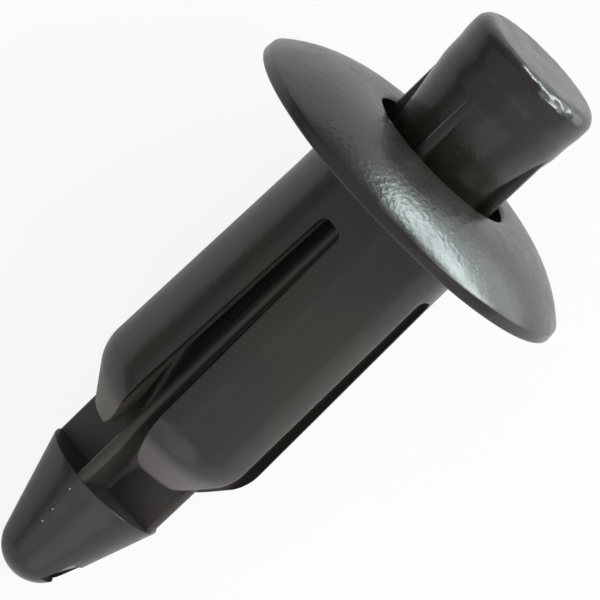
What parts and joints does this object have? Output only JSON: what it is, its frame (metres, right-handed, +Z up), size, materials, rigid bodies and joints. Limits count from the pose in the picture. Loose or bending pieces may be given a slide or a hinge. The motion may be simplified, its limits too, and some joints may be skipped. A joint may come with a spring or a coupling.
{
  "type": "plastic push rivet",
  "caption": "Push-in plastic trim rivet: a domed flange on a tube split into sprung legs, with a ribbed centre pin that slides down through it to spread them; lying on its side.",
  "frame": {"origin": "under the middle of the rivet's own bounding box, on the surface it lies on", "axes": "+Z up. The rivet's axis lies in the XZ plane, its head end towards +X and raised by about 17 degrees, because it rests on its flange's rim and its nose. Y runs across it."},
  "size_m": [0.03, 0.0164, 0.0157],
  "materials": {
    "grommet": "satin, finely textured",
    "push_pin": "satin, finely textured"
  },
  "bodies": {
    "grommet": {"grommet": "grommet"},
    "push_pin": {"push_pin": "push_pin"}
  },
  "joints": [
    {"name": "pin_slide", "type": "slide", "parent": "grommet", "child": "push_pin", "axis": [-0.9568, 0, -0.2909], "range_m": [-0.0019, 0.008]}
  ]
}
